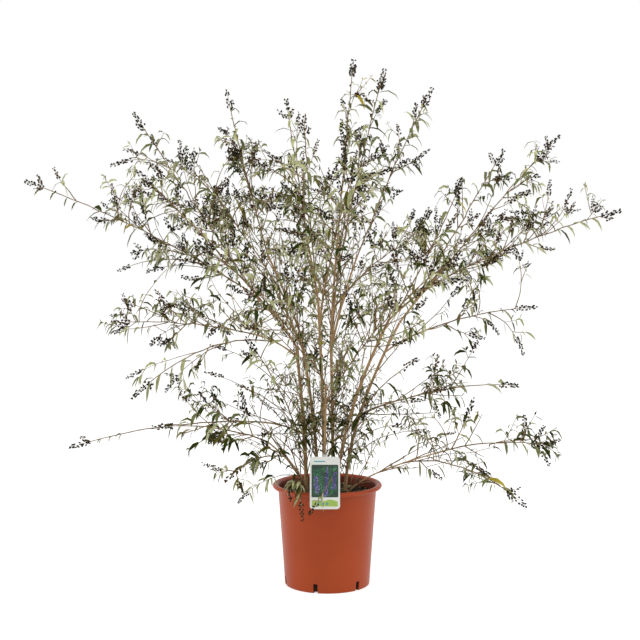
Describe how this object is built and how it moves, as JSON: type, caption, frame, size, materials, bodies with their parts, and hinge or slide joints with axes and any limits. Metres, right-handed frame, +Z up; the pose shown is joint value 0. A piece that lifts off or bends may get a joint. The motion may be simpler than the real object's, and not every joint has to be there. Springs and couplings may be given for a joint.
{
  "type": "potted butterfly bush",
  "caption": "Open, arching shrub with narrow grey-green leaves and dry dark seed heads, in a round terracotta-coloured nursery pot with a plain plant label.",
  "frame": {"origin": "centre of the pot's flat underside", "axes": "+Z up along the pot's axis, +X across the widest way of the crown, -Y towards the label side"},
  "size_m": [1.6118, 1.1325, 1.4358],
  "materials": {
    "pot": "satin injection-moulded plastic, terracotta colour",
    "soil": "loose dark potting mix with bits of bark",
    "label": "thin printed plastic card",
    "bark": "thin tan-brown bark, finely ridged",
    "foliage": "felted grey-green leaves and dry dark brown seed heads"
  },
  "bodies": {
    "root": {"pot": "pot", "soil": "soil", "label": "label", "stem_left": "bark", "stem_back_left": "bark", "stem_centre": "bark", "stem_right": "bark", "stem_outer_right": "bark", "stem_upright": "bark", "stem_low_right": "bark", "stem_low_left": "bark", "stem_front": "bark", "bough_left_high": "bark", "bough_left_low": "bark", "bough_lower_left": "bark", "bough_top_left": "bark", "bough_back_left": "bark", "bough_top_centre": "bark", "bough_front_high": "bark", "bough_right_high": "bark", "bough_right_top": "bark", "bough_right_mid": "bark", "bough_right_low": "bark", "bough_top": "bark", "bough_top_right": "bark", "bough_back": "bark", "foliage_far_left": "foliage", "foliage_upper_left": "foliage", "foliage_mid_left": "foliage", "foliage_left": "foliage", "foliage_low_left": "foliage", "foliage_lower_left": "foliage", "foliage_front_low_left": "foliage", "foliage_foot_left": "foliage", "foliage_top_left": "foliage", "foliage_inner_left": "foliage", "foliage_back_left": "foliage", "foliage_back_low_left": "foliage", "foliage_top_centre": "foliage", "foliage_front_top": "foliage", "foliage_front": "foliage", "foliage_front_left": "foliage", "foliage_front_right": "foliage", "foliage_top": "foliage", "foliage_top_inner": "foliage", "foliage_top_right": "foliage", "foliage_back_top": "foliage", "foliage_back_right": "foliage", "foliage_back": "foliage", "foliage_right_top": "foliage", "foliage_inner_right": "foliage", "foliage_far_right": "foliage", "foliage_front_mid_right": "foliage", "foliage_right": "foliage", "foliage_low_right": "foliage", "foliage_lower_right": "foliage", "foliage_foot_right": "foliage", "foliage_inner_low_left": "foliage", "foliage_inner_low_right": "foliage", "foliage_inner_back": "foliage"}
  },
  "joints": []
}
